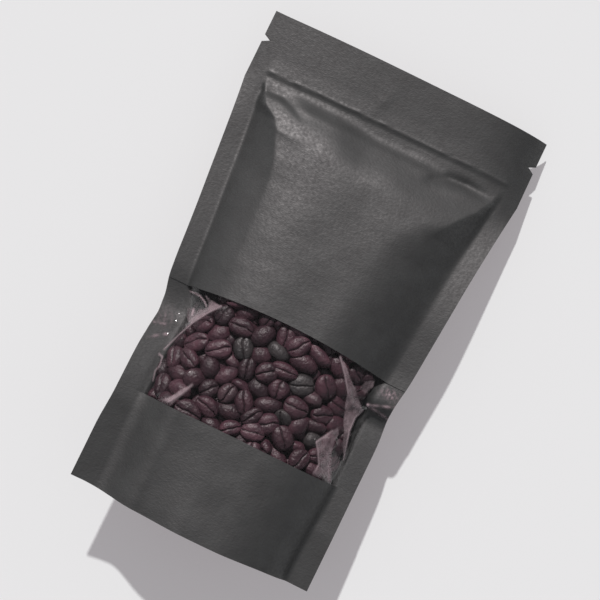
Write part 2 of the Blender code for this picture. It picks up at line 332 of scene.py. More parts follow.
def kraft_paper(name, colour):
    """Uncoated paper: short fibres in every direction, clouds where the pulp is thicker, and dark
    pigment that the beans rub paler on the creases."""
    material, tree, shader, place = new_material(name)
    cloud = noise(tree, place, 0.16, detail=3)
    fleck = noise(tree, place, 0.85, detail=4)
    fibres = noise(tree, place, 2.2, (0.35, 1.3, 1), 0.5, detail=1)
    crossing = noise(tree, place, 2.2, (0.35, 1.3, 1), -0.9, detail=1)
    pulp = added(tree, fibres, crossing)
    height = added(tree, pulp, fleck, 2.2)
    mottle = added(tree, cloud, fleck)
    worn = node(tree, "Attribute", attribute_name="crease").outputs["Fac"]
    halved = node(tree, "Math", operation="MULTIPLY")
    halved.inputs[1].default_value = 0.5
    tree.links.new(mottle, halved.inputs[0])
    tone = added(tree, halved.outputs[0], worn, 0.5)
    dark, pale, rubbed_and_glints = ([depth * share for share in colour] for depth in (0.66, 1.38, 2.6))
    colours = ramp(tree, tone, [(0.35, dark), (0.65, pale), (1.0, rubbed_and_glints)])
    tree.links.new(colours, shader.inputs["Base Color"])
    tree.links.new(spread(tree, fleck, 0.68, 0.50), shader.inputs["Roughness"])
    shader.inputs["Specular IOR Level"].default_value = 1.0
    fine_relief(tree, shader, height, strength=0.32, depth=0.12)
    return material


def finish_sheet(piece, material, crease):
    """Gives a sheet its material, and how far each of its points is rubbed pale."""
    piece.data.materials.append(material)
    worn = piece.data.attributes.new("crease", "FLOAT", "POINT")
    worn.data.foreach_set("value", np.asarray(crease, dtype=np.float32).ravel())


back_drops = np.concatenate([header_rows(1.2), steps(FLANGE_DROP, WEB_LENGTH, 1.2)[1:]])
flat_across, drop = np.meshgrid(steps(-WEB_HALF, WEB_HALF, 1.2), back_drops)
across = notched(flat_across, drop)
loose = eased((drop - FLANGE_DROP) / 12) * eased(back_z(across, drop) / 8)
loose = loose * (1 - free_share(across, drop) ** 6)
slack = 0.6 * ripple(across, drop, 22, 4) * loose
back_web = sheet("back_web", filled(across, drop, back_z(across, drop) + slack + PLY), PLY)
finish_sheet(back_web, kraft_paper("back_kraft", BLACK_KRAFT), 0 * drop)
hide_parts("back_panel")


# ---- Base gusset ----
# The foot is closed by a third web, folded once along its middle and welded inside the hems of the
# front and the back. The beans push it open into a long oval, still creased where it was folded.

HEM = 5.0
GUSSET_FOLD = 12.0
SHOULDER_DROP = 25.0
SHOULDER_SLOPE = 0.77
BELLY_DROP = 38.0
BELLY_SLOPE = 0.115


def middle_slope(drop):
    """How steeply the middle of the front climbs: from the zip over the beans' shoulder, then gently."""
    shoulder = eased((drop - SHOULDER_DROP) / 6) * (SHOULDER_SLOPE - 0.004 * (drop - 30))
    belly = eased((drop - BELLY_DROP) / 15)
    return shoulder * (1 - belly) + BELLY_SLOPE * np.exp(-(drop - 62) / 140) * belly


middle_drops = np.linspace(0, WEB_LENGTH, 801)
middle_climb = np.cumsum(middle_slope(middle_drops)) * (middle_drops[1] - middle_drops[0])


def middle_z(drop):
    """Height of the front along its centre line."""
    return np.interp(drop, middle_drops, HEADER_CROWN + 1.0 + middle_climb)


def corner_section(across, drop):
    """The front's cross-section near the zip, 0 at the welds and 1 in the middle: the web is stretched
    there into a steep flat facet up each side, with a knee where it turns over the beans."""
    share = free_share(across, drop)
    left_knee = np.interp(drop, [28, 36, 40, 54, 63], [0.99, 0.92, 0.79, 0.69, 0.66])
    right_knee = np.interp(drop, [28, 38, 44, 55, 66], [0.99, 0.92, 0.83, 0.70, 0.63])
    knee = np.where(across < 0, left_knee, right_knee)
    left_rise = np.interp(drop, [28, 34, 40, 46, 54, 63], [0.50, 0.50, 0.64, 0.70, 0.76, 0.76])
    right_rise = np.interp(drop, [28, 38, 44, 55], [0.45, 0.62, 0.74, 0.80])
    rise = np.where(across < 0, left_rise, right_rise)
    facet = rise * (1 - share) / (1 - knee)
    return np.where(share > knee, facet, rise + (1 - rise) * (1 - (share / knee) ** 2))


def section(across, drop):
    """The cross-section of the filled pouch, from 1 in the middle to 0 at the welds. The left side is
    a round shoulder, and the right one rolls off from a line that runs down from its corner."""
    share = free_share(across, drop)
    left = 1 - share**3.0
    left_near = (1 - 0.7 * eased((drop - 50) / 28)) * (1 - eased((drop - 85) / 25))
    roll_start = np.interp(drop, [36, 46, 55, 68, 83, 95], [0.95, 0.68, 0.48, 0.37, 0.30, 0.26])
    roll = np.clip((share - roll_start) / (1 - roll_start), 0, 1)
    right = 1 - roll**2.3 * (1.18 - 0.18 * roll**10)
    right_near = 1 - eased((drop - 44) / 16)
    body = np.where(across < 0, left, right)
    left_foot = eased((1 - share) / 0.46)
    right_foot = 0.90 * (1 - share**3.3) + 0.10 * (1 - share**22)
    foot = np.where(across < 0, left_foot, right_foot)
    body = body + (foot - body) * eased((drop - 120) / 40)
    near = np.where(across < 0, left_near, right_near)
    return body + (corner_section(across, drop) - body) * near


WELD_STACK = 0.47
SAG_DROP = 150.0
FULLER_LEFT = 4.0


def front_z(across, drop):
    """Height of the front, domed over the beans between the welds. The left half is a little fuller, and
    sags towards the foot."""
    weld = weld_z(across, drop) + WELD_STACK
    domed = section(across, drop) * eased((drop - FLANGE_DROP + 4) / 8)
    sag = 0.08 * np.maximum(drop - SAG_DROP, 0) * eased((-across - 2) / 24) * domed
    fuller_left = FULLER_LEFT * eased(-across / 20)
    return weld + np.maximum(middle_z(drop + fuller_left) - weld, 0) * domed - sag


up, along = np.meshgrid(steps(1, 0, -0.03), steps(-1, 1, 0.02), indexing="ij")
fold = 1 - np.abs(2 * up - 1)
gusset_depth = HEM + GUSSET_FOLD * fold * (1 - 0.5 * along**2) + 10 * along**4
across = along * free_half(WEB_LENGTH)
drop = WEB_LENGTH - gusset_depth
low = back_z(across, drop) + 2 * PLY
high = front_z(across, drop) - PLY - 0.05
gusset_y = gusset_depth - FILLED_LENGTH / 2 + 0.3 * ripple(across, 40 * up, 16, 8)
gusset_points = np.stack([side_x(across, drop), gusset_y, low + (high - low) * up], -1)
gusset_web = sheet("gusset_web", gusset_points, PLY)
gusset_kraft = kraft_paper("gusset_kraft", BLACK_KRAFT)
finish_sheet(gusset_web, gusset_kraft, 0.5 * bump(2 * up - 1, 0.03))
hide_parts("base_gusset")


# ---- Front web above the window ----
# The upper strip of the front: the header, the press zip that lifts a line across it, and the panel
# that domes over the beans. Where the stiff zip meets the dome, the paper is tucked at both ends.

FLANGE_END = 52.0
ZIP_CLIMB = 0.30
ZIP_LIP = 0.13
ZIP_DITCH = 0.05


def crease_line(across, drop, path, heights, reach, right_reach=None, power=2.0):
    """A ridge along a path of pattern points. Its slope may reach further on the right-hand side of
    the way it runs. A power of 2 makes it soft, and 1 as sharp as a fold."""
    nearest = np.full(across.shape, 1e9)
    height = 0 * across
    to_right = 0 * across
    for (start, start_height), (end, end_height) in zip(zip(path, heights), zip(path[1:], heights[1:])):
        run = np.subtract(end, start)
        share = ((across - start[0]) * run[0] + (drop - start[1]) * run[1]) / (run @ run)
        share = np.clip(share, 0, 1)
        aside = across - start[0] - share * run[0]
        under = drop - start[1] - share * run[1]
        gap = np.hypot(aside, under)
        nearer = gap < nearest
        nearest = np.where(nearer, gap, nearest)
        height = np.where(nearer, start_height + (end_height - start_height) * share, height)
        to_right = np.where(nearer, run[0] * under - run[1] * aside, to_right)
    slope = np.where(to_right > 0, right_reach or reach, reach)
    return height * np.exp(-((nearest / slope) ** power))


def zip_relief(across, drop):
    """The track lifts the web: a slow climb from above to a thin lip, then a sharp fall below it."""
    below = drop - ZIP_DROP + 0.012 * across + 0.10 * ripple(across, 0 * drop, 11, 5)
    end = 1 - eased((np.abs(across) - FLANGE_END) / 1.2)
    fall = 0.9 + 0.9 * bump(across + 44, 9)
    climb = ZIP_CLIMB * eased((below + 7) / 7) * (1 - eased(below / (fall + 1.2)))
    lip = ZIP_LIP * (1 + 0.9 * ripple(across, drop, 6, 21)) * bump(below + 0.3, 0.6)
    ditch = -ZIP_DITCH * eased(below / fall) * (1 - eased((below - fall) / 3.0))
    return end * (climb + lip + ditch)


def corner_tucks(across, drop):
    """Where the stiff zip ends, the slack of the front is tucked under it in a valley, and the valley's
    lower lip is pushed up by the beans into a tongue-shaped fold."""
    fade = 1 - eased((np.abs(across) - 52.5) / 1.5)
    # The points run along each fold, and the numbers after them are its heights there.
    left_valley = [(-53, 31.6), (-47.5, 30.6), (-41.5, 30.4), (-35.8, 32.2), (-29.5, 35.8)]
    left_tongue = [
        (-50, 35.0), (-46, 38.4), (-42.4, 41.6), (-38.5, 43.2),
        (-32.4, 43.7), (-27.6, 43.0), (-23.4, 40.6),
    ]
    right_valley = [(52, 31.0), (44, 30.2), (38, 29.8), (31, 30.6), (26, 33.0), (23.6, 36.5)]
    right_lip = [(51.6, 32.2), (43.3, 33.4), (37.4, 34.6), (29.5, 37.0)]
    shoulder = [(27, 29.5), (20, 33), (12, 38.5), (4, 43)]
    rise = crease_line(across, drop, left_tongue, [0.2, 0.5, 0.6, 0.6, 0.5, 0.4, 0.1], 3.6, 1.6, 1.5)
    rise = rise + crease_line(across, drop, right_lip, [0.2, 0.4, 0.4, 0.1], 1.8, 3.0, 1.6)
    rise = rise + crease_line(across, drop, shoulder, [0.2, 0.7, 0.7, 0.2], 5.5, 6.5)
    fall = crease_line(across, drop, left_valley, [1.0, 2.2, 2.3, 1.4, 0.1], 2.4, 1.5)
    fall = fall + crease_line(across, drop, right_valley, [0.6, 1.4, 1.7, 1.6, 1.0, 0.1], 2.8, 2.0)
    return fade * (rise - fall)


def smoothed(heights):
    """Takes the hardness off a grid of heights, as paper that has a thickness does."""
    heights[1:-1] = (heights[:-2] + 2 * heights[1:-1] + heights[2:]) / 4
    heights[:, 1:-1] = (heights[:, :-2] + 2 * heights[:, 1:-1] + heights[:, 2:]) / 4
    return heights


upper_drops = np.concatenate([header_rows(0.6), steps(FLANGE_DROP, WINDOW_TOP, 0.6)[1:]])
flat_across, drop = np.meshgrid(steps(-WEB_HALF, WEB_HALF, 0.6), upper_drops)
across = notched(flat_across, drop)
fold_path = [(-2.2, 6.9), (-5, 14.8), (-8.1, 22.0)]
header_fold = crease_line(across, drop, fold_path, [0.05, 0.22, 0.1], 2.0, 4.2, 1.6)
handled = 0.09 * ripple(across, drop, 17, 41) + 0.018 * ripple(across, drop, 5.5, 42)
handled = handled * (1 - eased((free_share(across, drop) - 0.8) / 0.2))
handled = handled * (0.45 + 0.55 * eased((drop - 30) / 6))
upper_z = front_z(across, drop) + zip_relief(across, drop) + corner_tucks(across, drop)
upper_z = upper_z + header_fold + handled
upper_z = np.maximum(upper_z, back_z(across, drop) + 2.2 * PLY)
upper_z = smoothed(upper_z)
upper_web = sheet("front_upper_web", filled(across, drop, upper_z), PLY)
front_kraft = kraft_paper("front_kraft", BLACK_KRAFT)
finish_sheet(upper_web, front_kraft, 0 * drop)
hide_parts("front_upper")


# ---- Front web below the window ----
# The lower strip of the front, from the window down to the foot, where its hem stands clear of the
# gusset. Near the welds it turns down over the beans in one long soft crease on each side.

flat_across, drop = np.meshgrid(steps(-WEB_HALF, WEB_HALF, 0.8), steps(WINDOW_FOOT, WEB_LENGTH, 0.8))
across = flat_across
handled = 0.07 * ripple(across, drop, 17, 43) + 0.016 * ripple(across, drop, 5.5, 44)
handled = handled * (1 - eased((free_share(across, drop) - 0.75) / 0.2)) * eased((drop - WINDOW_FOOT) / 4)
lower_z = smoothed(front_z(across, drop) + handled)
lower_web = sheet("front_lower_web", filled(across, drop, lower_z), PLY)
finish_sheet(lower_web, front_kraft, 0 * drop)
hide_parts("front_lower")


# ---- Roasted beans ----
# Whole roasted arabica beans, 8 to 11 mm long, shaken down against the window. Each has a round back
# and a flatter face split by the seam that it grew round. No two are quite alike.

BEAN_COUNT = 225
# Length, width and thickness, and how much each varies
BEAN_SIZE = (9.8, 8.0, 5.9)
BEAN_SPREAD = (0.95, 0.7, 0.5)
# They are shaken together slightly large, and then settle away from the front by up to this much.
BEAN_SHRINK = 0.96
DEEPEST_SETTLING = 2.4
# Beans deeper than this are left to the heap below, and any squeezed further than this through the
# front are left out.
DEEPEST_BEAN = 13.5
MOST_PROUD = 2.6
HEAP_TOP = 104.0
HEAP_FOOT = 167.0
HEAP_LEFT = [
    (-35, 104), (-35, 113), (-39, 122), (-43.5, 129), (-47, 137), (-48, 145), (-47, 158), (-46, 167),
]
HEAP_RIGHT = [(47, 104), (47, 113), (46.5, 125), (47, 137), (49, 147), (50, 158), (48, 167)]

map_x, map_y = steps(-60, 60, 1.0), steps(-80, 10, 1.0)


def front_over(x, y):
    """Height of the front web over points of the filled pouch."""
    drop = WEB_LENGTH * (0.5 - y / FILLED_LENGTH)
    share = 0 * x
    for _ in range(4):
        rise = lift(drop) * (1 - share**2)
        drop = np.clip(WEB_LENGTH * (0.5 - (y - rise) / FILLED_LENGTH), 0, WEB_LENGTH)
        share = np.clip(np.abs(x) / (free_half(drop) - DRAW_IN * filled_share(drop) ** 2), 0, 1)
    return front_z(np.sign(x) * share * free_half(drop), drop)


grid_x, grid_y = np.meshgrid(map_x, map_y)
roof_map = front_over(grid_x, grid_y) - PLY - 0.25
along_roof, across_roof = np.gradient(roof_map)
roof_slant = np.sqrt(1 + np.clip(along_roof**2 + across_roof**2, 0, 4))
map_drop = WEB_LENGTH * (0.5 - map_y / FILLED_LENGTH)
heap_side = []
for edge in (HEAP_LEFT, HEAP_RIGHT):
    edge_across = np.interp(map_drop, *np.transpose(edge)[::-1])
    heap_side.append(side_x(edge_across, map_drop))


def roof_at(values, x, y):
    """A map on the 1 mm grid read between its points."""
    column = np.clip(x - map_x[0], 0, len(map_x) - 1.001)
    row = np.clip(y - map_y[0], 0, len(map_y) - 1.001)
    left, low = column.astype(int), row.astype(int)
    over, up = column - left, row - low
    near = values[low, left] * (1 - over) + values[low, left + 1] * over
    far = values[low + 1, left] * (1 - over) + values[low + 1, left + 1] * over
    return near * (1 - up) + far * up


def bean_attitudes(quaternions):
    """Turns unit quaternions into 3 x 3 turning matrices."""
    w, x, y, z = np.moveaxis(quaternions / np.linalg.norm(quaternions, axis=-1, keepdims=True), -1, 0)
    rows = [
        [1 - 2 * (y * y + z * z), 2 * (x * y - w * z), 2 * (x * z + w * y)],
        [2 * (x * y + w * z), 1 - 2 * (x * x + z * z), 2 * (y * z - w * x)],
        [2 * (x * z - w * y), 2 * (y * z + w * x), 1 - 2 * (x * x + y * y)],
    ]
    return np.moveaxis(np.array(rows), -1, 0)


SHAKES = 240
SHAKE_LIFT = 0.25
NEIGHBOUR_ROUND = 6
NEIGHBOUR_GAP = 1.5


def shaken_beans(sizes, uneven):
    """Shakes the beans together against the inside of the pouch. Each is five balls held in one shape:
    they are pushed apart where they touch, pressed up to the window, and the shape is put back."""
    count = len(sizes)
    length, width, thick = sizes.T
    ball = np.stack([0.5 * thick, 0.42 * thick, 0.42 * thick, 0.45 * thick, 0.45 * thick], 1)
    local = np.zeros((count, 5, 3))
    local[:, 1, 0], local[:, 2, 0] = length / 2 - ball[:, 1], ball[:, 1] - length / 2
    local[:, 3, 1], local[:, 4, 1] = width / 2 - ball[:, 3], ball[:, 3] - width / 2
    top_y = along_y(0.0, HEAP_TOP)
    foot_y = along_y(0.0, HEAP_FOOT)
    centre = uneven.uniform((-42, foot_y + 3, 0), (42, top_y - 3, 1), (count, 3))
    layer = np.arange(count) % 3
    centre[:, 2] = roof_at(roof_map, centre[:, 0], centre[:, 1]) - 4 - 5.5 * layer
    turns = bean_attitudes(uneven.normal(0, (1, 0.55, 0.55, 1), (count, 4)))
    flipped = uneven.random(count) < 0.38
    turns[flipped] = turns[flipped] @ np.diag([1.0, -1.0, -1.0])
    radius = ball.ravel()
    owner = np.repeat(np.arange(count), 5)
    for shake in range(SHAKES):
        balls = (np.einsum("nij,nkj->nki", turns, local) + centre[:, None]).reshape(-1, 3)
        balls[:, 2] += SHAKE_LIFT
        if shake % NEIGHBOUR_ROUND == 0:
            apart = np.linalg.norm(balls[:, None] - balls[None], axis=-1)
            close = apart < radius[:, None] + radius[None] + NEIGHBOUR_GAP
            first, second = np.nonzero(np.triu(close & (owner[:, None] != owner[None])))
        gap = balls[second] - balls[first]
        distance = np.linalg.norm(gap, axis=-1)
        overlap = np.maximum(radius[first] + radius[second] - distance, 0)
        push = gap * (0.5 * overlap / np.maximum(distance, 1e-6))[:, None]
        for axis in range(3):
            balls[:, axis] += np.bincount(second, push[:, axis], len(balls))
            balls[:, axis] -= np.bincount(first, push[:, axis], len(balls))
        roof = roof_at(roof_map, balls[:, 0], balls[:, 1])
        slant = roof_at(roof_slant, balls[:, 0], balls[:, 1])
        balls[:, 2] = np.minimum(balls[:, 2], roof - radius * slant)
        left, right = (np.interp(balls[:, 1], map_y, side) for side in heap_side)
        balls[:, 0] = np.clip(balls[:, 0], left + radius, right - radius)
        balls[:, 1] = np.clip(balls[:, 1], foot_y + radius, top_y - radius)
        balls = balls.reshape(count, 5, 3)
        centre = balls.mean(1)
        spun = np.einsum("nki,nkj->nij", balls - centre[:, None], local)
        left, _, right = np.linalg.svd(spun)
        facing = np.sign(np.linalg.det(left @ right))
        left[:, :, 2] *= facing[:, None]
        turns = left @ right
    return centre, turns


RINGS = 17
COLUMNS = 26


def bean_shapes(sizes, uneven):
    """Points of every bean about its own centre, rings along it and columns round it, and how deep in
    its seam each of them is. The columns of the face follow the seam's slow S."""
    count = len(sizes)
    length, width, thick = (side[:, None, None] / 2 for side in sizes.T)
    run = np.cos(np.linspace(0, np.pi, RINGS))[None, :, None]
    face = np.linspace(1, -1, COLUMNS // 2 + 1)
    face = np.sign(face) * np.abs(face) ** 1.7
    back = np.sin(np.linspace(-1, 1, COLUMNS - COLUMNS // 2 + 1)[1:-1] * np.pi / 2)
    side = np.concatenate([face, back])[None, None, :]
    on_face = np.concatenate([0 * face + 1, 0 * back])[None, None, :]
    taper, bend, twist, gape, phase = uneven.uniform(
        (-0.12, -0.5, -0.6, 0.40, 0), (0.12, 0.5, 0.6, 1.05, 6.3), (count, 5)
    ).T[:, :, None, None]
    girth = np.maximum(1 - run**2, 0) ** 0.43
    girth = girth * (1 + 0.03 * np.sin(2.9 * run + phase) * side)
    seam = 0.50 * np.sin(1.7 * run * (1 + twist) + twist) + 0.13 * np.sin(7 * run + phase)
    from_seam = np.abs(side) * width * girth
    x = length * run + 0 * side
    y = width * girth * side * (1 + taper * run) + bend * (1 - run**2)
    y = y + on_face * seam * girth * (1 - side**2)
    within = on_face * eased(girth * 2.6 - 0.5)
    seam_half = 0.18 + 0.06 * np.sin(5 * run + 2 * phase)
    groove = within * bump(from_seam, seam_half)
    halves = 0.08 * bump(np.abs(side) - 0.45, 0.35) - 0.12 * bump(from_seam, 0.8)
    round_over = np.sqrt(np.maximum(1 - side**2, 0))
    face_height = 0.66 * thick * girth * round_over**0.72 + within * halves - 0.95 * gape * groove
    back_height = -1.20 * thick * girth * round_over
    z = np.where(on_face > 0, face_height, back_height) + 0.27 * thick
    lump = 0.10 * np.sin(2.1 * x + phase) * np.sin(1.9 * y + 2 * phase)
    lump = lump + 0.06 * np.sin(3.7 * y - 1.3 * x + phase)
    return np.stack(np.broadcast_arrays(x, y, z + lump * girth), -1), np.broadcast_to(groove, z.shape)


def bean_faces(count):
    """The faces between the rings and columns of every bean. At either end a ring is one point."""
    first = np.arange(count)[:, None, None] * RINGS * COLUMNS
    ring = np.arange(RINGS - 1)[None, :, None] * COLUMNS
    here = np.arange(COLUMNS)[None, None, :]
    after = (here + 1) % COLUMNS
    corners = (ring + here, ring + after, ring + COLUMNS + after, ring + COLUMNS + here)
    return np.stack(np.broadcast_arrays(*(first + corner for corner in corners)), -1).reshape(-1, 4)


uneven = np.random.default_rng(11)
bean_sizes = uneven.normal(BEAN_SIZE, BEAN_SPREAD, (BEAN_COUNT, 3))
bean_centres, bean_turns = shaken_beans(bean_sizes, uneven)
shapes, grooves = bean_shapes(bean_sizes, uneven)
bean_centres[:, 2] -= DEEPEST_SETTLING * uneven.random(BEAN_COUNT) ** 2
bean_points = BEAN_SHRINK * np.einsum("nij,nrcj->nrci", bean_turns, shapes) + bean_centres[:, None, None]
roof_over = roof_at(roof_map, bean_points[..., 0], bean_points[..., 1])
proud = (bean_points[..., 2] - roof_over).max((1, 2))
bean_points[..., 2] -= np.maximum(proud, 0)[:, None, None]
under_roof = roof_at(roof_map, bean_centres[:, 0], bean_centres[:, 1]) - bean_centres[:, 2]
kept = (proud < MOST_PROUD) & (under_roof < DEEPEST_BEAN)
bean_points, grooves = bean_points[kept], grooves[kept]
heap = mesh_piece("roasted_beans", bean_points.reshape(-1, 3), bean_faces(len(bean_points)))
joined = bmesh.new()
joined.from_mesh(heap.data)
roast_layer = joined.verts.layers.float.new("roast")
groove_layer = joined.verts.layers.float.new("groove")
roasts = np.repeat(uneven.random(len(bean_points)), RINGS * COLUMNS)
for vert, roast, groove in zip(joined.verts, roasts, grooves.ravel()):
    vert[roast_layer] = roast
    vert[groove_layer] = groove
bmesh.ops.remove_doubles(joined, verts=joined.verts[:], dist=1e-6)
bmesh.ops.recalc_face_normals(joined, faces=joined.faces[:])
joined.to_mesh(heap.data)
joined.free()


def roasted_skin(name):
    """Dry, finely wrinkled skin, from purple-brown to nearly black, with painted shade darkening the seam's
    crack, and a few greyer beans where the silver skin has stayed on."""
    material, tree, shader, place = new_material(name)
    wrinkle = noise(tree, place, 0.85, detail=5)
    patch = noise(tree, place, 0.22, detail=3)
    roast = node(tree, "Attribute", attribute_name="roast").outputs["Fac"]
    groove = node(tree, "Attribute", attribute_name="groove").outputs["Fac"]
    skin = ramp(tree, roast, [
        (0.0, (0.024, 0.011, 0.016)), (0.35, (0.043, 0.018, 0.026)), (0.80, (0.066, 0.027, 0.039)),
        (0.93, (0.080, 0.037, 0.050)), (0.95, (0.034, 0.030, 0.031)), (1.0, (0.046, 0.042, 0.043)),
    ])
    uneven_roast = node(tree, "MixRGB", blend_type="MULTIPLY")
    uneven_roast.inputs["Fac"].default_value = 1.0
    shade = ramp(tree, patch, [(0.30, (0.55, 0.55, 0.58)), (0.70, (1.30, 1.24, 1.22))])
    tree.links.new(skin, uneven_roast.inputs["Color1"])
    tree.links.new(shade, uneven_roast.inputs["Color2"])
    # Painted shade: the seam's groove value blends the skin towards near black, for the shade inside the
    # crack.
    seam_shade = node(tree, "MixRGB")
    seam_shade.inputs["Color2"].default_value = (0.012, 0.006, 0.008, 1)
    tree.links.new(groove, seam_shade.inputs["Fac"])
    tree.links.new(uneven_roast.outputs["Color"], seam_shade.inputs["Color1"])
    tree.links.new(seam_shade.outputs["Color"], shader.inputs["Base Color"])
    tree.links.new(spread(tree, wrinkle, 0.34, 0.54), shader.inputs["Roughness"])
    fine_relief(tree, shader, wrinkle, strength=0.9, depth=0.5)
    return material


heap.data.materials.append(roasted_skin("roasted_skin"))
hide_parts("beans")


# ---- Heap below the top beans ----
# The beans that lie deeper than light reaches, as one dark uneven bed that closes the gaps between the
# beans on top of it.

CORE_DEPTH = 9.5
CORE_PLY = 2.0


def deep_shade(name):
    """Painted shade: the lower beans and crumbs coloured near black for the shade they lie in."""
    material, tree, shader, place = new_material(name)
    crumb = noise(tree, place, 0.5, detail=4)
    colours = ramp(tree, crumb, [(0.35, (0.006, 0.004, 0.005)), (0.70, (0.022, 0.012, 0.015))])
    tree.links.new(colours, shader.inputs["Base Color"])
    tree.links.new(spread(tree, crumb, 0.7, 0.9), shader.inputs["Roughness"])
    fine_relief(tree, shader, crumb, strength=1.0, depth=1.0)
    return material


across, drop = np.meshgrid(steps(-43, 46, 1.0), steps(HEAP_TOP, HEAP_FOOT, 1.0))
core_z = front_z(across, drop) - CORE_DEPTH + 1.2 * ripple(across, drop, 8, 3)
core_z = np.maximum(core_z, back_z(across, drop) + 4)
core = sheet("bean_core", filled(across, drop, core_z), CORE_PLY)
core.data.materials.append(deep_shade("deep_shade"))
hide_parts("beans")


# ---- Window film ----
# The paper is cut away over the window, and the clear film of the laminate runs on alone across it, welds
# and all. It drapes over the beans, and its slack stands up in loose folds at either side, whose sheen is
# painted on as a pale pinkish layer.

FILM = 0.06
FILM_TUCK = 1.5

film_drops = steps(WINDOW_TOP - FILM_TUCK, WINDOW_FOOT + FILM_TUCK, 0.5)
across, drop = np.meshgrid(steps(-WEB_HALF, WEB_HALF, 0.5), film_drops)
film_x, film_y = side_x(across, drop), along_y(across, drop)


def heap_under(x, y):
    """The highest bean near each point of the film, from a map with two cells to the millimetre."""
    rows, columns = 2 * (len(map_y) - 1), 2 * (len(map_x) - 1)

    def cell(x, y):
        column = np.clip(((x - map_x[0]) * 2).astype(int), 0, columns - 1)
        row = np.clip(((y - map_y[0]) * 2).astype(int), 0, rows - 1)
        return row, column

    tops = np.full((rows, columns), -1.0)
    bean_x, bean_y, bean_z = bean_points.reshape(-1, 3).T
    np.maximum.at(tops, cell(bean_x, bean_y), bean_z)
    for axis in (0, 1):
        tops = np.maximum(tops, np.maximum(np.roll(tops, 1, axis), np.roll(tops, -1, axis)))
    return tops[cell(x, y)]


DRAPE_ROUNDS = 500


def draped(held, fixed, under):
    """Pulls the film tight between its held edges and whatever it lies on."""
    film = held.copy()
    for _ in range(DRAPE_ROUNDS):
        level = 0 * film
        level[1:-1, 1:-1] = (film[:-2, 1:-1] + film[2:, 1:-1] + film[1:-1, :-2] + film[1:-1, 2:]) / 4
        film = np.where(fixed, held, np.maximum(level, under))
    return film


PATCH_EDGE = 0.5


def patch(across, drop, outline):
    """1 inside an outline of points on the flat web, fading to 0 over its edge."""
    inside = np.zeros(across.shape, bool)
    gap = np.full(across.shape, 1e9)
    for start, end in zip(outline, outline[1:] + outline[:1]):
        run = np.subtract(end, start)
        share = np.clip(((across - start[0]) * run[0] + (drop - start[1]) * run[1]) / (run @ run), 0, 1)
        aside, under = across - start[0] - share * run[0], drop - start[1] - share * run[1]
        gap = np.minimum(gap, np.hypot(aside, under))
        spans = (drop < start[1]) != (drop < end[1])
        inside ^= spans & (across < start[0] + (drop - start[1]) * run[0] / (run[1] or 1.0))
    return eased(0.5 + np.where(inside, gap, -gap) / PATCH_EDGE)


held = front_z(across, drop) - PLY - 0.04
fixed = (drop < WINDOW_TOP + 0.3) | (drop > WINDOW_FOOT - 0.3) | (np.abs(across) > 51.5)
film_z = draped(held, fixed, heap_under(film_x, film_y) + 0.12)
film_z = np.maximum(film_z, back_z(across, drop) + 2.5 * PLY)

# The slack folds, as places on the flat web: each stands up from the film, or lies pressed to it.
left_fold = [(-32, 116.6), (-36.1, 120.4), (-41.3, 126.3), (-44.9, 132), (-48.9, 139.2)]
left_hem = [(-50.4, 141.7), (-47.7, 142.3), (-46.8, 145.7), (-47.8, 148.2), (-46.4, 151.9)]
foot_fold = [(-27.9, 147.2), (-30.6, 152), (-35, 157.5)]
right_fold = [(27.7, 114.3), (33.5, 119.3), (38.9, 124.7), (42.7, 127.2), (48.8, 127)]
right_edge = [(48.8, 127), (46.6, 130.9), (46.7, 136.8), (48.3, 141.9), (50.2, 147.3)]
right_flap = [(41.3, 137.4), (39.5, 139.6), (35, 145.8), (37.6, 148.7), (40.7, 152.8), (40.2, 157.4)]
pinched = eased((drop - WINDOW_TOP) / 1.5) * eased((WINDOW_FOOT - drop) / 1.5)
free = pinched * eased((52 - np.abs(across)) / 1.5)
standing_folds = [
    (left_fold, [1.0, 2.6, 3.2, 2.8, 0.8], 1.2, 3.6),
    (foot_fold, [0.3, 1.5, 1.8], 1.2, 2.6),
    (right_fold, [0.6, 1.8, 2.2, 1.6, 0.5], 4.0, 1.2),
    (right_edge, [0.5, 1.8, 2.2, 1.8, 0.6], 1.4, 2.8),
    (right_flap, [0.4, 1.4, 2.2, 2.0, 1.6, 0.6], 4.5, 1.1),
]
folds = 0 * across
for path, heights, reach, right_reach in standing_folds:
    folds = folds + crease_line(across, drop, path, heights, reach, right_reach, power=1.2)
film_z = film_z + folds * free

weld_creases = [
    ([(50, 124.3), (60, 120.2)], [0.5, 0.2], 0.5),
    ([(50, 124.3), (60, 125.5)], [0.5, 0.25], 0.5),
    ([(-59, 131.4), (-55, 130.4)], [0.25, 0.2], 0.4),
    ([(-58, 137.5), (-52.5, 133.6)], [0.1, 0.25], 0.5),
]
weld_streaks = 0 * across
for path, heights, reach in weld_creases:
    weld_streaks = weld_streaks + crease_line(across, drop, path, heights, reach)
crumpled = bump(across - 55.5, 3.2) * bump(drop - 116.6, 1.8)
crumpled = crumpled + 0.3 * bump(across + 56, 3) * bump(drop - 128, 4)
film_z = film_z + pinched * (weld_streaks + 0.22 * crumpled * ripple(across, drop, 2.2, 33))
film = sheet("clear_film", np.stack([film_x, film_y, film_z], -1), FILM)
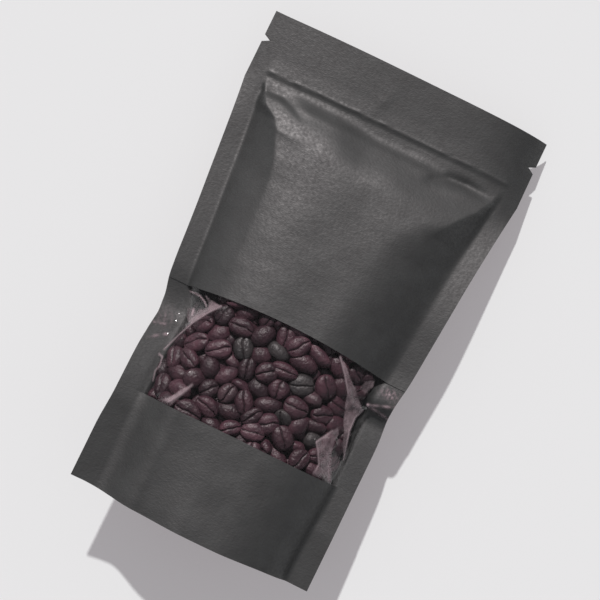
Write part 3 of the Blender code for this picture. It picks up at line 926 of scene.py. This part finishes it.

# Painted sheen: the folds' pinkish reflection is painted on where the film lies doubled, with painted
# highlights along the fold ridges and painted glints on the weld creases.
left_crescent = [
    (-41.3, 114.6), (-38.4, 115.6), (-31.8, 116.6), (-35.5, 120.5), (-38.7, 123), (-41.7, 126.7),
    (-44, 126), (-41.5, 122.5), (-41.8, 120.6), (-39, 120), (-37.4, 118.6), (-38.2, 117),
]
left_pocket = [(-41.5, 122), (-41.7, 126.7), (-45.9, 125), (-47.8, 121.4), (-44.4, 120.4)]
foot_flap = [(-27.7, 147), (-28.9, 150.1), (-33.1, 157.9), (-39, 157.9), (-34.2, 154.3), (-31.5, 150.5)]
upper_band = [
    (27.7, 114.3), (33.5, 119.3), (38.9, 124.7), (42.7, 127.2), (48.8, 127), (45, 124.5), (40, 121.5),
    (35, 118.2), (30.5, 115.2),
]
upper_flap = [(46.8, 114.9), (47.8, 117), (46.2, 121), (42.6, 120.6), (43.6, 117.2)]
right_web = [
    (37.8, 123.8), (42.2, 126.2), (48.8, 127), (46.4, 130.9), (46.9, 136.8), (48.2, 141.9), (50.2, 147.3),
    (47.2, 143), (45.2, 138.6), (42.1, 134.1), (39.9, 128.8),
]
lower_band = [
    (41.3, 137.4), (39.5, 139.6), (35, 145.8), (37.6, 148.7), (40.7, 152.8), (40.2, 158), (49.8, 158),
    (46.9, 152.4), (43.9, 147.8), (42.3, 142.8), (42.8, 139.5),
]
uneven_sheen = 0.68 + 0.26 * ripple(across, drop, 5, 31) + 0.16 * ripple(across, drop, 1.8, 32)
painted_sheen = 0.30 * patch(across, drop, left_crescent) + 0.14 * patch(across, drop, left_pocket)
sheen_patches = [
    (foot_flap, 0.46), (upper_band, 0.30), (upper_flap, 0.22), (right_web, 0.30), (lower_band, 0.33),
]
for outline, sheen_strength in sheen_patches:
    painted_sheen = np.maximum(painted_sheen, sheen_strength * patch(across, drop, outline))
painted_sheen = painted_sheen * uneven_sheen
# Painted highlights along the ridges of the folds.
highlight_lines = [
    (left_fold, [0.7, 0.75, 0.7, 0.6, 0.4], 0.45),
    ([(-49.8, 114.9), (-44, 115.4), (-40.4, 117), (-38.4, 118.6)], [0.3, 0.5, 0.5, 0.4], 0.3),
    ([(-44.2, 121.4), (-43.6, 123.4)], [0.95, 0.8], 0.55),
    (left_hem, [0.4, 0.45, 0.3, 0.3, 0.2], 0.4),
    (foot_fold, [0.3, 0.7, 0.8], 0.6),
    (right_fold, [0.5, 0.55, 0.5, 0.4, 0.4], 0.45),
    (right_edge, [0.5, 0.85, 0.9, 0.7, 0.4], 0.40),
    (right_flap[1:], [0.4, 0.5, 0.5, 0.5, 0.4], 0.40),
    ([(43.6, 149.4), (46, 153.5), (48.4, 157.2)], [0.3, 0.8, 0.4], 0.7),
]
for path, strengths, reach in highlight_lines:
    painted_sheen = np.maximum(painted_sheen, 0.9 * crease_line(across, drop, path, strengths, 0.85 * reach))
# Painted glints along the weld creases and over the crumpled patches.
rubbed_and_glints = 0.9 * weld_streaks * (1 + ripple(across, drop, 2.5, 34))
rubbed_and_glints = rubbed_and_glints + crumpled * (0.16 + 0.40 * ripple(across, drop, 1.6, 35))
painted_sheen = np.maximum(painted_sheen * free, rubbed_and_glints * pinched)
sheen_attribute = film.data.attributes.new("painted_sheen", "FLOAT", "POINT")
sheen_attribute.data.foreach_set("value", np.clip(painted_sheen, 0, 1).astype(np.float32).ravel())


def clear_film(name):
    """Clear gloss film, with a pale pinkish diffuse layer painted on its folds as their sheen."""
    material = bpy.data.materials.new(name)
    material.use_nodes = True
    tree = material.node_tree
    tree.nodes.remove(tree.nodes["Principled BSDF"])
    clear = node(tree, "BsdfTransparent")
    clear.inputs["Color"].default_value = (0.985, 0.985, 0.985, 1)
    gloss = node(tree, "BsdfGlossy")
    gloss.inputs["Roughness"].default_value = 0.10
    # Painted sheen: a pale pinkish diffuse stands in for the reflection off the folds.
    sheen_paint = node(tree, "BsdfDiffuse")
    sheen_paint.inputs["Color"].default_value = (0.43, 0.345, 0.37, 1)
    facing = node(tree, "LayerWeight")
    facing.inputs["Blend"].default_value = 0.5
    grazing = node(tree, "Math", operation="POWER")
    grazing.inputs[1].default_value = 3.5
    tree.links.new(facing.outputs["Facing"], grazing.inputs[0])
    glint = node(tree, "Math", operation="MULTIPLY_ADD")
    glint.inputs[1].default_value = 0.7
    glint.inputs[2].default_value = 0.018
    tree.links.new(grazing.outputs[0], glint.inputs[0])
    shine = node(tree, "MixShader")
    tree.links.new(glint.outputs[0], shine.inputs["Fac"])
    tree.links.new(clear.outputs["BSDF"], shine.inputs[1])
    tree.links.new(gloss.outputs["BSDF"], shine.inputs[2])
    painted_sheen = node(tree, "MixShader")
    tree.links.new(node(tree, "Attribute", attribute_name="painted_sheen").outputs["Fac"], painted_sheen.inputs["Fac"])
    tree.links.new(shine.outputs["Shader"], painted_sheen.inputs[1])
    tree.links.new(sheen_paint.outputs["BSDF"], painted_sheen.inputs[2])
    tree.links.new(painted_sheen.outputs["Shader"], tree.nodes["Material Output"].inputs["Surface"])
    return material


film.data.materials.append(clear_film("window_film"))
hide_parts("window_film")


# ---- Table, lamp and camera ----
# The pouch lies on a plain pale table, seen from straight above. One slightly warm lamp stands halfway up
# at its upper left and throws a crisp shadow, and a weak cool light comes from all round.

bpy.ops.mesh.primitive_plane_add(size=4)
table = bpy.context.object
table.name = "table"
table_top = bpy.data.materials.new("table_top")
table_top.use_nodes = True
table_surface = table_top.node_tree.nodes["Principled BSDF"]
table_surface.inputs["Base Color"].default_value = (0.545, 0.60, 0.59, 1)
table_surface.inputs["Roughness"].default_value = 0.9
table_surface.inputs["Emission Color"].default_value = (1.0, 0.90, 0.94, 1)
table_surface.inputs["Emission Strength"].default_value = 0.27
table.data.materials.append(table_top)

sunlight = bpy.data.lights.new("sun", "SUN")
sunlight.energy = 3.4
sunlight.color = (1.0, 0.93, 0.93)
sunlight.angle = math.radians(1.5)
sun = bpy.data.objects.new("sun", sunlight)
towards_lamp = Vector((-0.366, 0.622, 0.693)).normalized()
sun.rotation_euler = towards_lamp.to_track_quat("Z", "Y").to_euler()
bpy.context.scene.collection.objects.link(sun)

world = bpy.data.worlds.new("studio")
world.use_nodes = True
world.node_tree.nodes["Background"].inputs["Color"].default_value = (0.95, 0.95, 1.0, 1)
world.node_tree.nodes["Background"].inputs["Strength"].default_value = 0.22
bpy.context.scene.world = world
bpy.context.scene.view_settings.view_transform = "Standard"

# In metres: how wide the view is, and how far in front of the camera.
SEEN_WIDTH = 0.2372
SEEN_FROM = 0.812

eye = bpy.data.cameras.new("eye")
eye.sensor_width = 36
eye.lens = eye.sensor_width * SEEN_FROM / SEEN_WIDTH
camera = bpy.data.objects.new("camera", eye)
camera.location = (-0.0004, 0.0012, 0.82)
camera.rotation_euler = (0, 0, math.radians(26.1))
bpy.context.scene.collection.objects.link(camera)
bpy.context.scene.camera = camera
